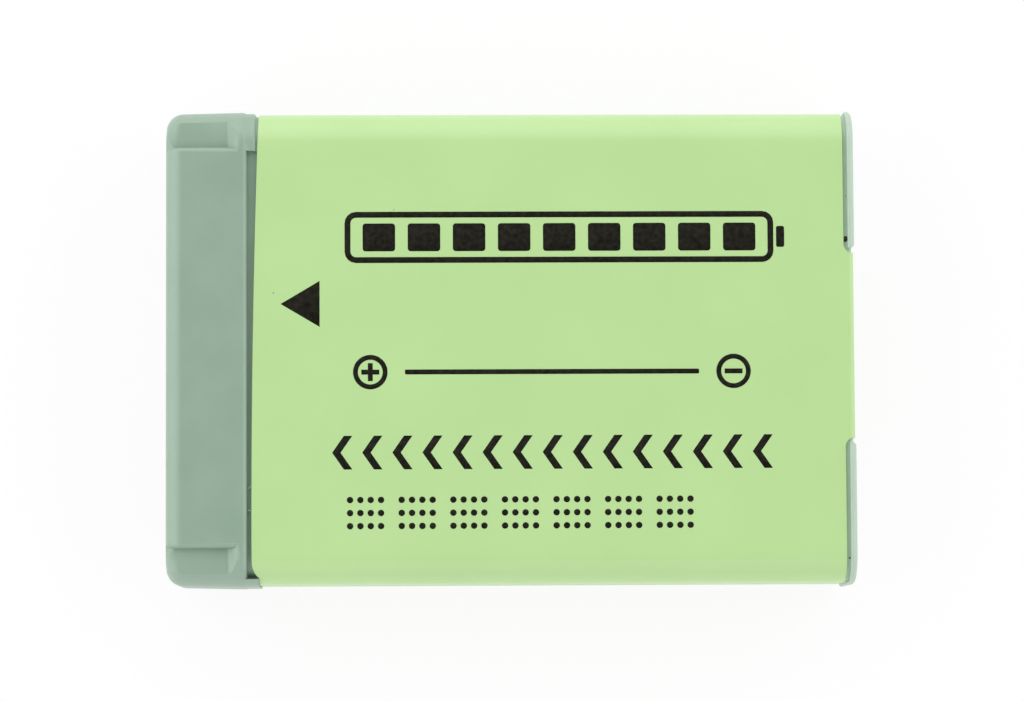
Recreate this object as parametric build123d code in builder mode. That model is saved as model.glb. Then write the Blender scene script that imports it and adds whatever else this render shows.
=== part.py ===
from build123d import *
import os

# Rechargeable camera battery. A flat aluminium cell carries a moulded contact cap on its lid and a
# thin moulded frame on its base, and one printed film wraps the cell and folds over the tail.
# X runs from the contact end (-X) to the tail (+X), Y across the pack, Z up out of the printed face.
# The origin is the middle of the underside. All sizes are in millimetres.

# Outside of the pack
pack_length = 42.4
pack_width = 29.4
pack_thickness = 9.2
corner_radius = 2.1

# Label film
film_thickness = 0.12
film_inset = 0.16
film_lap = 0.34
seam_width = 0.2
tongue_width = 11.4
tongue_root_radius = 0.55
tongue_tip_height = 1.4
tongue_tip_radius = 0.8

# Contact cap
cap_length = 5.0
cap_wall = 0.9
end_wall = 1.0
cap_end_radius = 1.05
cap_side_draft = 0.12
shoulder_radius = 0.3
groove_width = 0.36
groove_depth = 0.48
groove_corner = 2.6
groove_reach = 1.4
tab_inset = 0.08
tab_reach = 0.16
tab_gap = 0.08
tab_chamfer = 0.12
flange_inset = 0.04
flange_band = 0.5

# Guide pockets in the cap's printed side
pocket_depth = 0.5
pocket_width = 2.38
pocket_end_run = 0.6
pocket_end_drop = 0.27
pocket_ramp = 0.55
pocket_land = 0.55
pocket_ridge_radius = 0.3
pocket_ramp_radius = 0.4

# Contacts and the windows in front of them
window_width = 2.2
window_height = 4.2
window_corner_radius = 0.3
window_chamfer = 0.2
contact_pitch = 3.6
contact_margin = 2.6
contact_thickness = 0.5
contact_clearance = 0.12
contact_edge = 0.12

# Protection board and its seat in the cap
board_thickness = 0.8
board_seat = 0.3
board_clearance = 0.15
board_corner_radius = 0.5
seat_rib_width = 0.8
seat_rib_margin = 0.6
stop_thickness = 0.8

# Cell lid and what is fixed to it
can_base_radius = 0.5
gasket_length = 5.2
gasket_width = 3.2
gasket_thickness = 0.35
gasket_corner_radius = 0.6
rivet_length = 4.0
rivet_width = 2.4
rivet_thickness = 0.4
rivet_corner_radius = 0.4
shank_diameter = 1.5
shank_clearance = 0.03
insulator_thickness = 0.15
insulator_clearance = 0.3
insulator_window_gap = 0.2
insulator_bridge = 0.5
insulator_corner_radius = 0.8
plug_diameter = 1.5
plug_height = 0.25
plug_edge = 0.1
lid_spacing = 0.25
plate_length = 4.4
plate_width = 3.2
plate_thickness = 0.15

# Thermal breaker
breaker_length = 5.4
breaker_width = 3.2
breaker_height = 0.95
breaker_edge = 0.12
arm_width = 2.2
arm_thickness = 0.12
arm_overlap = 3.2
outlet_reach = 2.7
outlet_length = 2.0

# Nickel leads and the pads they are welded to
lead_width = 2.6
lead_thickness = 0.1
lead_bend_radius = 0.4
lead_wall_gap = 0.6
lead_weld_gap = 0.4
pad_length = 2.4
pad_width = 3.4
pad_thickness = 0.3
pad_margin = 0.4

# Chips on the board
chip_gap = 0.6
chip_standoff = 0.1
chip_chamfer = 0.12
leg_width = 0.35
leg_thickness = 0.15
protection_length = 2.9
protection_width = 1.6
protection_height = 1.1
protection_leg_count = 3
protection_leg_pitch = 0.95
protection_leg_length = 0.6
switch_length = 3.0
switch_width = 4.4
switch_height = 1.0
switch_leg_count = 4
switch_leg_pitch = 0.65
switch_leg_length = 0.9
capacitor_length = 1.6
capacitor_width = 0.8
capacitor_height = 0.8
capacitor_count = 3
capacitor_pitch = 2.1
resistor_length = 1.0
resistor_width = 0.5
resistor_height = 0.35
resistor_count = 4
resistor_pitch = 1.5
terminal_share = 0.2
terminal_swell = 0.03

# Tail frame and the tape behind it
tape_thickness = 0.06
tape_margin = 1.6
tail_thickness = 0.64
tail_rim = 0.41
tail_ledge_depth = 0.3
tail_edge_radius = 0.32
tail_rim_chamfer = 0.07
seat_depth = 0.17
seat_clearance = 0.3
seat_flare = 45
seat_fold_radius = 0.2

# Stations along X
x_end = -pack_length / 2
x_wall = x_end + end_wall
x_board_outer = x_wall + board_seat
x_board_inner = x_board_outer + board_thickness
x_shoulder = x_end + cap_length
x_ramp_foot = x_shoulder - pocket_land - pocket_ramp
x_film = x_shoulder + groove_width
x_lid = x_film + film_lap
x_tail = pack_length / 2
x_frame = x_tail - tail_thickness
x_base = x_frame - tape_thickness
x_seat = x_tail - seat_depth

# Stations across Y and Z
z_middle = pack_thickness / 2
y_side = pack_width / 2
cell_inset = film_inset + film_thickness
groove_half = y_side - groove_corner
pocket_wall = y_side - pocket_width
pocket_floor = pack_thickness - pocket_depth
cavity_half = y_side - cap_wall
cavity_height = pack_thickness - 2 * cap_wall
board_half = pocket_wall - cap_wall - board_clearance
board_height = cavity_height - 2 * board_clearance
lead_fold = cavity_half - lead_wall_gap
pad_centre = board_half - pad_margin - pad_length / 2
pad_inner = pad_centre - pad_length / 2
tongue_half = tongue_width / 2
seat_half = tongue_half + seat_clearance
z_film_face = pack_thickness - film_inset
z_cell_face = pack_thickness - cell_inset

# Places along the lid, from the terminal outwards
insulator_end = -(gasket_length / 2 + insulator_window_gap + insulator_bridge)
plug_centre = insulator_end - lid_spacing - plug_diameter / 2
plate_centre = plug_centre - plug_diameter / 2 - lid_spacing - plate_length / 2
breaker_end = lead_fold - outlet_reach
breaker_start = breaker_end - breaker_length
arm_level = gasket_thickness + rivet_thickness

# Places of the chips along the board, inwards from the two weld pads
resistor_place = -pad_inner + chip_gap + resistor_length / 2
protection_place = resistor_place + resistor_length / 2 + chip_gap + protection_length / 2
switch_place = protection_place + protection_length / 2 + chip_gap + switch_length / 2
capacitor_place = pad_inner - chip_gap - capacitor_length / 2
thermistor_place = capacitor_place - capacitor_length - chip_gap


def section_plane(x):
    """Plane across the pack at x: its first axis is +Y, its second +Z, its normal +X."""
    return Plane(origin=(x, 0, z_middle), x_dir=(0, 1, 0), z_dir=(1, 0, 0))


def above_lid(height):
    """Plane across the pack at a height above the lid, which faces -X."""
    return section_plane(x_lid - height)


def pack_section(inset, mode=Mode.ADD):
    """Rounded cross-section of the pack, drawn in by the inset on every side."""
    RectangleRounded(
        pack_width - 2 * inset, pack_thickness - 2 * inset, corner_radius - inset, mode=mode
    )


def strip_between(y_from, y_to, width, mode=Mode.ADD):
    """Rectangle on a section plane from one Y to another, centred in height."""
    with Locations(((y_from + y_to) / 2, 0)):
        Rectangle(abs(y_to - y_from), width, mode=mode)


# Tab of the cap that keeps the film's edge in place round the corners of its plain side
with BuildPart() as film_tab:
    with BuildSketch(section_plane(x_shoulder - shoulder_radius)):
        pack_section(tab_inset)
        with Locations((groove_half, 0)):
            Rectangle(
                groove_half + y_side,
                pack_thickness,
                align=(Align.MAX, Align.CENTER),
                mode=Mode.SUBTRACT,
            )
    extrude(amount=x_film + tab_reach - x_shoulder + shoulder_radius)
    chamfer(film_tab.faces().sort_by(Axis.X)[-1].edges().sort_by(Axis.Y)[1:], length=tab_chamfer)

# Moulded cap on the cell's lid: a thin shell with a stepped lip, guide pockets and contact windows
contact_places = [-board_half + contact_margin + contact_pitch * step for step in range(3)]
with BuildPart() as contact_cap:
    # Outer form: the narrow sides lean in a little towards the end
    with BuildSketch(Plane.XY):
        with BuildLine():
            Polyline(
                (x_end, y_side - cap_side_draft),
                (x_shoulder, y_side),
                (x_shoulder, -y_side),
                (x_end, -y_side + cap_side_draft),
                close=True,
            )
        make_face()
    extrude(amount=pack_thickness)
    fillet(
        [edge for edge in contact_cap.edges() if abs(edge.tangent_at(0).X) > abs(edge.tangent_at(0).Y)],
        radius=corner_radius,
    )
    fillet(contact_cap.faces().sort_by(Axis.X)[0].edges(), radius=cap_end_radius)
    fillet(contact_cap.faces().sort_by(Axis.X)[-1].edges(), radius=shoulder_radius)
    # Pockets: a flat floor that falls away at the end and runs out at the side, closed by a ramp
    for side in (1, -1):
        with BuildSketch(Plane.XZ.offset(-side * pocket_wall)):
            with BuildLine():
                Polyline(
                    (x_end, pack_thickness),
                    (x_end, pocket_floor - pocket_end_drop),
                    (x_end + pocket_end_run, pocket_floor),
                    (x_ramp_foot, pocket_floor),
                    (x_ramp_foot + pocket_ramp, pack_thickness),
                    close=True,
                )
            make_face()
        extrude(amount=-side * pocket_width, mode=Mode.SUBTRACT)
        ridge = contact_cap.edges().filter_by(Axis.X).sort_by_distance(
            (x_ramp_foot, side * pocket_wall, pack_thickness)
        )[0]
        fillet(ridge, radius=pocket_ridge_radius)
        ramp_top = contact_cap.edges().filter_by(Axis.Y).sort_by_distance(
            (x_ramp_foot + pocket_ramp, side * (pocket_wall + pocket_width / 2), pack_thickness)
        )[0]
        fillet(ramp_top, radius=pocket_ramp_radius)
    # Lip that stands on the lid, flush with the cell at the sides and cut lower along the flats and
    # round the corners of the seam side
    with BuildSketch(section_plane(x_shoulder)):
        pack_section(cell_inset)
    extrude(amount=x_lid - x_shoulder)
    with BuildSketch(section_plane(x_shoulder)):
        with GridLocations(0, pack_thickness - groove_reach, 1, 2):
            with Locations((groove_half, 0)):
                Rectangle(groove_half + y_side, groove_reach, align=(Align.MAX, Align.CENTER))
        pack_section(groove_depth, mode=Mode.SUBTRACT)
    extrude(amount=x_lid - x_shoulder, mode=Mode.SUBTRACT)
    # Stops for the film's edge: the tab, and a flange along the seam side
    add(film_tab.part)
    with BuildSketch(section_plane(x_shoulder - shoulder_radius)):
        pack_section(flange_inset)
        with Locations((-y_side + flange_band, 0)):
            Rectangle(
                pack_width, pack_thickness, align=(Align.MIN, Align.CENTER), mode=Mode.SUBTRACT
            )
    extrude(amount=x_lid - x_shoulder + shoulder_radius)
    # Hollow for the board, with the wall kept whole behind each pocket
    with BuildSketch(section_plane(x_wall)):
        pack_section(cap_wall)
    extrude(amount=x_lid - x_wall, mode=Mode.SUBTRACT)
    with BuildSketch(section_plane(x_wall)):
        for side in (1, -1):
            with Locations((side * cavity_half, cavity_height / 2)):
                Rectangle(
                    cavity_half - pocket_wall + cap_wall,
                    pocket_depth,
                    align=(Align.MAX if side > 0 else Align.MIN, Align.MAX),
                )
    extrude(amount=x_ramp_foot + pocket_ramp - x_wall)
    # Ribs that the board rests on and stops at its two ends
    with BuildSketch(section_plane(x_wall)):
        with GridLocations(2 * (board_half - seat_rib_margin), 0, 2, 1):
            Rectangle(seat_rib_width, cavity_height)
    extrude(amount=board_seat)
    with BuildSketch(section_plane(x_wall)):
        for side in (1, -1):
            strip_between(side * (board_half + board_clearance), side * cavity_half, stop_thickness)
    extrude(amount=board_seat + board_thickness)
    # Windows in front of the contacts
    with BuildSketch(section_plane(x_end)):
        with Locations([(place, 0) for place in contact_places]):
            RectangleRounded(window_width, window_height, window_corner_radius)
    extrude(amount=end_wall + board_seat, mode=Mode.SUBTRACT)
    window_rims = contact_cap.faces().sort_by(Axis.X)[0].inner_wires()
    chamfer(window_rims.edges(), length=window_chamfer)

# Flat aluminium can of the cell, sealed
with BuildPart() as cell_can:
    with BuildSketch(section_plane(x_lid)):
        pack_section(cell_inset)
    extrude(amount=x_base - x_lid)
    fillet(cell_can.faces().sort_by(Axis.X)[-1].edges(), radius=can_base_radius)

# Plastic seat that keeps the negative terminal off the lid
with BuildPart() as terminal_gasket:
    with BuildSketch(above_lid(0)):
        RectangleRounded(gasket_length, gasket_width, gasket_corner_radius)
        Circle(shank_diameter / 2 + shank_clearance, mode=Mode.SUBTRACT)
    extrude(amount=-gasket_thickness)

# Negative terminal: a plate with a shank down through the seat
with BuildPart() as terminal_rivet:
    with BuildSketch(above_lid(0)):
        Circle(shank_diameter / 2)
    extrude(amount=-gasket_thickness)
    with BuildSketch(above_lid(gasket_thickness)):
        RectangleRounded(rivet_length, rivet_width, rivet_corner_radius)
    extrude(amount=-rivet_thickness)

# Pin that closes the filling hole
with BuildPart() as fill_plug:
    with BuildSketch(above_lid(0)):
        with Locations((plug_centre, 0)):
            Circle(plug_diameter / 2)
    extrude(amount=-plug_height)
    chamfer(fill_plug.faces().sort_by(Axis.X)[0].edges(), length=plug_edge)

# Insulating sheet on the negative half of the lid, open round the terminal seat
with BuildPart() as lid_insulator:
    with BuildSketch(above_lid(0)) as insulator_outline:
        strip_between(
            insulator_end, cavity_half - insulator_clearance, cavity_height - 2 * insulator_clearance
        )
        fillet(insulator_outline.vertices(), radius=insulator_corner_radius)
        RectangleRounded(
            gasket_length + 2 * insulator_window_gap,
            gasket_width + 2 * insulator_window_gap,
            gasket_corner_radius + insulator_window_gap,
            mode=Mode.SUBTRACT,
        )
    extrude(amount=-insulator_thickness)

# Thermal breaker in the negative path, with a flat arm at each end
with BuildPart() as breaker_body:
    with BuildSketch(above_lid(insulator_thickness)):
        strip_between(breaker_start, breaker_end, breaker_width)
    extrude(amount=-breaker_height)
    chamfer(breaker_body.faces().sort_by(Axis.X)[0].edges(), length=breaker_edge)

with BuildPart() as breaker_inlet_arm:
    with BuildSketch(above_lid(arm_level)):
        strip_between(rivet_length / 2 - arm_overlap, breaker_start, arm_width)
    extrude(amount=-arm_thickness)

with BuildPart() as breaker_outlet_arm:
    with BuildSketch(above_lid(arm_level)):
        strip_between(breaker_end, breaker_end + outlet_length, arm_width)
    extrude(amount=-arm_thickness)

# Bonded plate on the lid that takes the positive lead's weld
with BuildPart() as positive_plate:
    with BuildSketch(above_lid(0)):
        strip_between(plate_centre - plate_length / 2, plate_centre + plate_length / 2, plate_width)
    extrude(amount=-plate_thickness)

# Protection board, seated on the cap's ribs
with BuildPart() as circuit_board:
    with BuildSketch(section_plane(x_board_outer)):
        RectangleRounded(2 * board_half, board_height, board_corner_radius)
    extrude(amount=board_thickness)


def weld_pad(side):
    """Nickel pad on the board's inner face, near the end on the given side of Y."""
    with BuildPart() as pad:
        with BuildSketch(section_plane(x_board_inner)):
            with Locations((side * pad_centre, 0)):
                Rectangle(pad_length, pad_width)
        extrude(amount=pad_thickness)
    return pad


negative_weld_pad = weld_pad(1)
positive_weld_pad = weld_pad(-1)


def folded_lead(side, start, height):
    """Nickel strip that lies at a height above the lid, turns up beside the board and lies on its pad.

    The side is +1 or -1 along Y, and start is the distance from the middle where the lower leg begins.
    """
    x_low = x_lid - height
    x_high = x_board_inner + pad_thickness
    with BuildPart() as lead:
        with BuildSketch(Plane.XY.offset(z_middle - lead_width / 2)):
            with BuildLine():
                outside = FilletPolyline(
                    (x_low, side * start),
                    (x_low, side * lead_fold),
                    (x_high, side * lead_fold),
                    (x_high, side * pad_inner),
                    radius=lead_bend_radius,
                )
                inside = FilletPolyline(
                    (x_low - lead_thickness, side * start),
                    (x_low - lead_thickness, side * (lead_fold - lead_thickness)),
                    (x_high + lead_thickness, side * (lead_fold - lead_thickness)),
                    (x_high + lead_thickness, side * pad_inner),
                    radius=lead_bend_radius - lead_thickness,
                )
                Line(outside @ 0, inside @ 0)
                Line(outside @ 1, inside @ 1)
            make_face()
        extrude(amount=lead_width)
    return lead


negative_lead = folded_lead(1, breaker_end + lead_weld_gap, arm_level + arm_thickness)
positive_lead = folded_lead(-1, -plate_centre - plate_length / 2 + lead_weld_gap, plate_thickness)


def contact_plate(place):
    """Gold-plated contact on the board's outer face, reaching into its window."""
    with BuildPart() as contact:
        with BuildSketch(section_plane(x_board_outer)):
            with Locations((place, 0)):
                RectangleRounded(
                    window_width - 2 * contact_clearance,
                    window_height - 2 * contact_clearance,
                    window_corner_radius - contact_clearance,
                )
        extrude(amount=-contact_thickness)
        chamfer(contact.faces().sort_by(Axis.X)[0].edges(), length=contact_edge)
    return contact


positive_contact, sense_contact, negative_contact = [contact_plate(place) for place in contact_places]


def leaded_chip(place, length, width, height, leg_count, leg_pitch, leg_length):
    """Moulded chip on the board's inner face with a row of bent legs on each long side."""
    with BuildPart() as chip:
        with BuildSketch(section_plane(x_board_inner + chip_standoff)):
            with Locations((place, 0)):
                Rectangle(length, width)
        extrude(amount=height - chip_standoff)
        chamfer(chip.faces().sort_by(Axis.X)[-1].edges(), length=chip_chamfer)
        with BuildSketch(section_plane(x_board_inner)):
            with Locations((place, 0)):
                with GridLocations(leg_pitch, width + leg_length, leg_count, 2):
                    Rectangle(leg_width, leg_length)
        extrude(amount=leg_thickness)
        with BuildSketch(section_plane(x_board_inner)):
            with Locations((place, 0)):
                with GridLocations(leg_pitch, width + leg_thickness, leg_count, 2):
                    Rectangle(leg_width, leg_thickness)
        extrude(amount=height / 2)
    return chip


protection_chip = leaded_chip(
    protection_place,
    protection_length,
    protection_width,
    protection_height,
    protection_leg_count,
    protection_leg_pitch,
    protection_leg_length,
)
switch_chip = leaded_chip(
    switch_place,
    switch_length,
    switch_width,
    switch_height,
    switch_leg_count,
    switch_leg_pitch,
    switch_leg_length,
)


def chip_column(place, length, width, height, count, pitch):
    """Column of two-terminal chips on the board's inner face, each with swollen end caps."""
    with BuildPart() as column:
        with BuildSketch(section_plane(x_board_inner)):
            with Locations((place, 0)):
                with GridLocations(0, pitch, 1, count):
                    Rectangle(length, width)
        extrude(amount=height)
        with BuildSketch(section_plane(x_board_inner)):
            with Locations((place, 0)):
                with GridLocations(0, pitch, 1, count):
                    with GridLocations(length * (1 - terminal_share), 0, 2, 1):
                        Rectangle(length * terminal_share, width + 2 * terminal_swell)
        extrude(amount=height + terminal_swell)
    return column


thermistor = chip_column(
    thermistor_place, capacitor_length, capacitor_width, capacitor_height, 1, capacitor_pitch
)
chip_capacitors = chip_column(
    capacitor_place, capacitor_length, capacitor_width, capacitor_height, capacitor_count, capacitor_pitch
)
chip_resistors = chip_column(
    resistor_place, resistor_length, resistor_width, resistor_height, resistor_count, resistor_pitch
)

# Double-sided tape between the can's base and the tail frame
with BuildPart() as tail_tape:
    with BuildSketch(section_plane(x_base)):
        pack_section(tape_margin)
    extrude(amount=tape_thickness)

# Moulded frame on the base: a stepped plate with a seat for the label's tongue
with BuildPart() as tail_frame:
    with BuildSketch(section_plane(x_tail - tail_rim)):
        pack_section(0)
    extrude(amount=tail_rim)
    fillet(tail_frame.faces().sort_by(Axis.X)[-1].edges(), radius=tail_edge_radius)
    chamfer(tail_frame.faces().sort_by(Axis.X)[0].edges(), length=tail_rim_chamfer)
    with BuildSketch(section_plane(x_frame)):
        pack_section(tail_ledge_depth)
    extrude(amount=tail_thickness - tail_rim)
    # Notch in the printed side of the rim, down to the level of the cell
    with BuildSketch(section_plane(x_frame)):
        with Locations((0, z_cell_face - z_middle)):
            Rectangle(2 * seat_half, cell_inset, align=(Align.CENTER, Align.MIN))
    extrude(amount=tail_thickness, mode=Mode.SUBTRACT)
    # Shallow recess down the end face, with the edge that the film folds over rounded
    with BuildSketch(section_plane(x_seat)) as recess:
        with Locations((0, tongue_tip_height - seat_clearance - z_middle)):
            Rectangle(2 * seat_half, pack_thickness, align=(Align.CENTER, Align.MIN))
        fillet(recess.vertices().group_by(Axis.Y)[0], radius=tongue_tip_radius + seat_clearance)
    extrude(amount=seat_depth, taper=-seat_flare, mode=Mode.SUBTRACT)
    fold_edge = tail_frame.edges().filter_by(Axis.Y).sort_by_distance((x_seat, 0, z_cell_face))[0]
    fillet(fold_edge, radius=seat_fold_radius)

# Printed film round the cell and the cap's lip, with a butt seam along one narrow side and a tongue
# over the tail
with BuildPart() as label_wrap:
    with BuildSketch(section_plane(x_film)):
        pack_section(film_inset)
        pack_section(cell_inset, mode=Mode.SUBTRACT)
        strip_between(-y_side, -y_side + cell_inset, seam_width, mode=Mode.SUBTRACT)
    extrude(amount=x_base - x_film)
    # Head edge cut back beside the cap's tab and its flange
    with BuildSketch(section_plane(x_film)):
        with Locations((groove_half - tab_gap, 0)):
            Rectangle(y_side, pack_thickness, align=(Align.MIN, Align.CENTER))
    extrude(amount=tab_reach + tab_gap, mode=Mode.SUBTRACT)
    with BuildSketch(section_plane(x_film)):
        with Locations((-y_side + flange_band + tab_gap, 0)):
            Rectangle(y_side, pack_thickness, align=(Align.MAX, Align.CENTER))
    extrude(amount=film_lap, mode=Mode.SUBTRACT)
    # Tongue: the film carried on over the frame's edge and down its end face
    with BuildSketch(Plane.XZ):
        with BuildLine():
            outside = FilletPolyline(
                (x_base, z_film_face),
                (x_seat + film_thickness, z_film_face),
                (x_seat + film_thickness, tongue_tip_height),
                radius=seat_fold_radius + film_thickness,
            )
            inside = FilletPolyline(
                (x_base, z_cell_face),
                (x_seat, z_cell_face),
                (x_seat, tongue_tip_height),
                radius=seat_fold_radius,
            )
            Line(outside @ 0, inside @ 0)
            Line(outside @ 1, inside @ 1)
        make_face()
    extrude(amount=tongue_half + tongue_root_radius, both=True)
    # Sides of the tongue, with round roots where it leaves the panel
    with BuildSketch(Plane.XY) as beside_tongue:
        with Locations((x_base, tongue_half)):
            Rectangle(pack_thickness, pack_thickness, align=(Align.MIN, Align.MIN))
        root = beside_tongue.vertices().sort_by_distance((x_base, tongue_half))[0]
        fillet(root, radius=tongue_root_radius)
        mirror(about=Plane.XZ)
    extrude(amount=pack_thickness, mode=Mode.SUBTRACT)
    tip = label_wrap.faces().filter_by(Axis.Z).sort_by_distance((x_tail, 0, tongue_tip_height))[0]
    fillet(tip.edges().filter_by(Axis.X), radius=tongue_tip_radius)

pieces = {
    "contact_cap": contact_cap,
    "cell_can": cell_can,
    "terminal_gasket": terminal_gasket,
    "terminal_rivet": terminal_rivet,
    "fill_plug": fill_plug,
    "lid_insulator": lid_insulator,
    "breaker_body": breaker_body,
    "breaker_inlet_arm": breaker_inlet_arm,
    "breaker_outlet_arm": breaker_outlet_arm,
    "positive_plate": positive_plate,
    "circuit_board": circuit_board,
    "negative_weld_pad": negative_weld_pad,
    "positive_weld_pad": positive_weld_pad,
    "negative_lead": negative_lead,
    "positive_lead": positive_lead,
    "positive_contact": positive_contact,
    "sense_contact": sense_contact,
    "negative_contact": negative_contact,
    "protection_chip": protection_chip,
    "switch_chip": switch_chip,
    "thermistor": thermistor,
    "chip_capacitors": chip_capacitors,
    "chip_resistors": chip_resistors,
    "tail_tape": tail_tape,
    "tail_frame": tail_frame,
    "label_wrap": label_wrap,
}

os.makedirs("parts", exist_ok=True)
for name, piece in pieces.items():
    piece.part.label = name
    export_step(piece.part, f"parts/{name}.step")
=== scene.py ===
"""Dresses the camera battery: printed film, moulded ends, cell and circuit, in a white studio."""

import logging
import math
from dataclasses import dataclass, field
from enum import Enum

import bpy
import numpy as np
from numpy.typing import NDArray
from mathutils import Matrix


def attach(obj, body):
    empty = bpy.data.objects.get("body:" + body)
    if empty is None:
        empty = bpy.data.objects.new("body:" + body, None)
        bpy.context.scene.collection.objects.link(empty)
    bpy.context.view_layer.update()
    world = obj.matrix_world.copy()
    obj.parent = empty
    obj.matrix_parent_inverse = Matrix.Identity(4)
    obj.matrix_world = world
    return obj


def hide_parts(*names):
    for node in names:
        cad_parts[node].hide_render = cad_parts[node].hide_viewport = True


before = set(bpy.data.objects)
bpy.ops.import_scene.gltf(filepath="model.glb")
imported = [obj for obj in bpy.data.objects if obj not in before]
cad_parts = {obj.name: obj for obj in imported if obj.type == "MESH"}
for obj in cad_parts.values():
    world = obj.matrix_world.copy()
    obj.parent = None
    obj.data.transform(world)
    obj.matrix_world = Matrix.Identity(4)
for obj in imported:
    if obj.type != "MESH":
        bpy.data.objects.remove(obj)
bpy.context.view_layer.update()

log = logging.getLogger("camera_battery")

Points = NDArray[np.float64]
Numbers = NDArray[np.int64]
Colour = tuple[float, float, float, float]
Patch = tuple[Points, Numbers]

MM = 0.001
BODY = "root"
PHOTO_WIDTH = 1024
WHITE: Colour = (1.0, 1.0, 1.0, 1.0)

# Points closer than these count as one: in metres for a weld, in mm for outlines.
WELD_DISTANCE = 1e-7
SAME_POINT = 1e-9
SAME_LINE = 1e-6

# The screen's colour curve: a straight toe, then a power of the offset value.
CHANNEL_TOP = 255
TOE_END = 0.04045
TOE_SLOPE = 12.92
CURVE_OFFSET = 0.055
CURVE_POWER = 2.4

# Character of every finish's noise, and the middle values that it is stretched from.
NOISE_DETAIL = 3.0
NOISE_ROUGHNESS = 0.55
NOISE_LOW = 0.3
NOISE_HIGH = 0.7

# Places of a mix node's colour sockets, whose names repeat.
MIX_AMOUNT = 0
MIX_SHADE = 6
MIX_LIGHT = 7
MIX_RESULT = 2


class Slot(Enum):
    """Names of the record's material slots for the scene's own pieces; the script gives no piece
    one.
    """

    FILM = "film"
    MOULDING = "moulding"
    BLACK_MOULDING = "black_moulding"


class Grain(Enum):
    """Ways in which a surface's fine relief runs."""

    EVEN = (1.0, 1.0, 1.0)
    ALONG = (0.06, 1.0, 1.0)
    UPRIGHT = (1.0, 1.0, 0.06)


def linear(red: int, green: int, blue: int) -> Colour:
    """Turns an 8-bit screen colour into the linear colour that shaders take.

    Up to the toe's end a channel is divided by the toe's slope. Above it, the curve's offset is
    added, the sum is divided by 1 plus the offset, and the result is raised to the curve's power.

    Args:
        red: Red channel, 0 to 255.
        green: Green channel, 0 to 255.
        blue: Blue channel, 0 to 255.

    Returns:
        Linear red, green and blue, and an alpha of 1.
    """
    screen = np.array((red, green, blue)) / CHANNEL_TOP
    curved = ((screen + CURVE_OFFSET) / (1 + CURVE_OFFSET)) ** CURVE_POWER
    channels = np.where(screen <= TOE_END, screen / TOE_SLOPE, curved)
    return (float(channels[0]), float(channels[1]), float(channels[2]), 1.0)


def quads(numbers: Numbers) -> Numbers:
    """Joins a grid of point numbers into quads.

    Each quad goes from a point to the next row, along that row to the next column, and back, so
    its front is on the side of (row direction) x (column direction).

    Args:
        numbers: Point numbers, one row of the grid per row.

    Returns:
        Four point numbers per quad.
    """
    corners = (numbers[:-1, :-1], numbers[1:, :-1], numbers[1:, 1:], numbers[:-1, 1:])
    return np.stack(corners, axis=-1).reshape(-1, 4)


def rounded_loop(width: float, height: float, radius: float, steps: int = 5) -> Points:
    """Outline of a rectangle with round corners about the origin.

    Each corner is its centre plus the radius times (cosine, sine) over a quarter turn, and the
    straight sides are the lines between the corners. A side of no length leaves one point.

    Args:
        width: Size along x, in mm.
        height: Size along y, in mm.
        radius: Corner radius, in mm.
        steps: Points per corner.

    Returns:
        Points of the closed loop, counter-clockwise.
    """
    quarter = np.linspace(0, np.pi / 2, steps)
    turns = np.arange(4)[:, None] * np.pi / 2
    angles = turns + quarter
    centres_x = np.array((1, -1, -1, 1))[:, None] * (width / 2 - radius)
    centres_y = np.array((1, 1, -1, -1))[:, None] * (height / 2 - radius)
    along = centres_x + radius * np.cos(angles)
    across = centres_y + radius * np.sin(angles)
    loop = np.stack((along, across), axis=-1).reshape(-1, 2)
    stride = np.linalg.norm(loop - np.roll(loop, 1, axis=0), axis=1)
    return loop[stride > SAME_POINT]


def stamp(loop: Points, centres: Points) -> Patch:
    """Fills one outline at each of several places.

    Each copy is a fan: its centre joined to every pair of neighbours on the loop.

    Args:
        loop: Outline about the origin, counter-clockwise, in mm.
        centres: Places of the copies, in mm.

    Returns:
        Flat points of all copies and three point numbers per triangle.
    """
    count = len(loop)
    shape = np.vstack((np.zeros((1, 2)), loop))
    points = (centres[:, None, :] + shape[None, :, :]).reshape(-1, 2)
    rim = np.arange(count)
    fan = np.stack((np.zeros(count, int), rim + 1, (rim + 1) % count + 1), axis=-1)
    starts = np.arange(len(centres)) * (count + 1)
    return points, (starts[:, None, None] + fan).reshape(-1, 3)


def hoop(outer: Points, inner: Points, centres: Points) -> Patch:
    """Fills the band between two outlines of equal count at each of several places.

    Each copy is a strip of quads from the inner loop to the outer loop, split into triangles.

    Args:
        outer: Outer outline about the origin, in mm.
        inner: Inner outline about the origin, in mm.
        centres: Places of the copies, in mm.

    Returns:
        Flat points of all copies and three point numbers per triangle.
    """
    count = len(outer)
    shape = np.vstack((inner, outer))
    points = (centres[:, None, :] + shape[None, :, :]).reshape(-1, 2)
    ring = np.append(np.arange(count), 0)
    strip = quads(np.stack((ring, ring + count)))
    halves = np.concatenate((strip[:, (0, 1, 2)], strip[:, (0, 2, 3)]))
    starts = np.arange(len(centres)) * 2 * count
    return points, (starts[:, None, None] + halves).reshape(-1, 3)


def gather(patches: list[Patch]) -> Patch:
    """Puts several patches into one, with each one's point numbers moved on past the last.

    Args:
        patches: Points and faces of each patch.

    Returns:
        All points and all faces.
    """
    counts = np.array([len(points) for points, _ in patches])
    starts = np.concatenate(((0,), np.cumsum(counts)[:-1]))
    points = np.concatenate([points for points, _ in patches])
    faces = np.concatenate([faces + start for (_, faces), start in zip(patches, starts)])
    return points, faces


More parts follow.
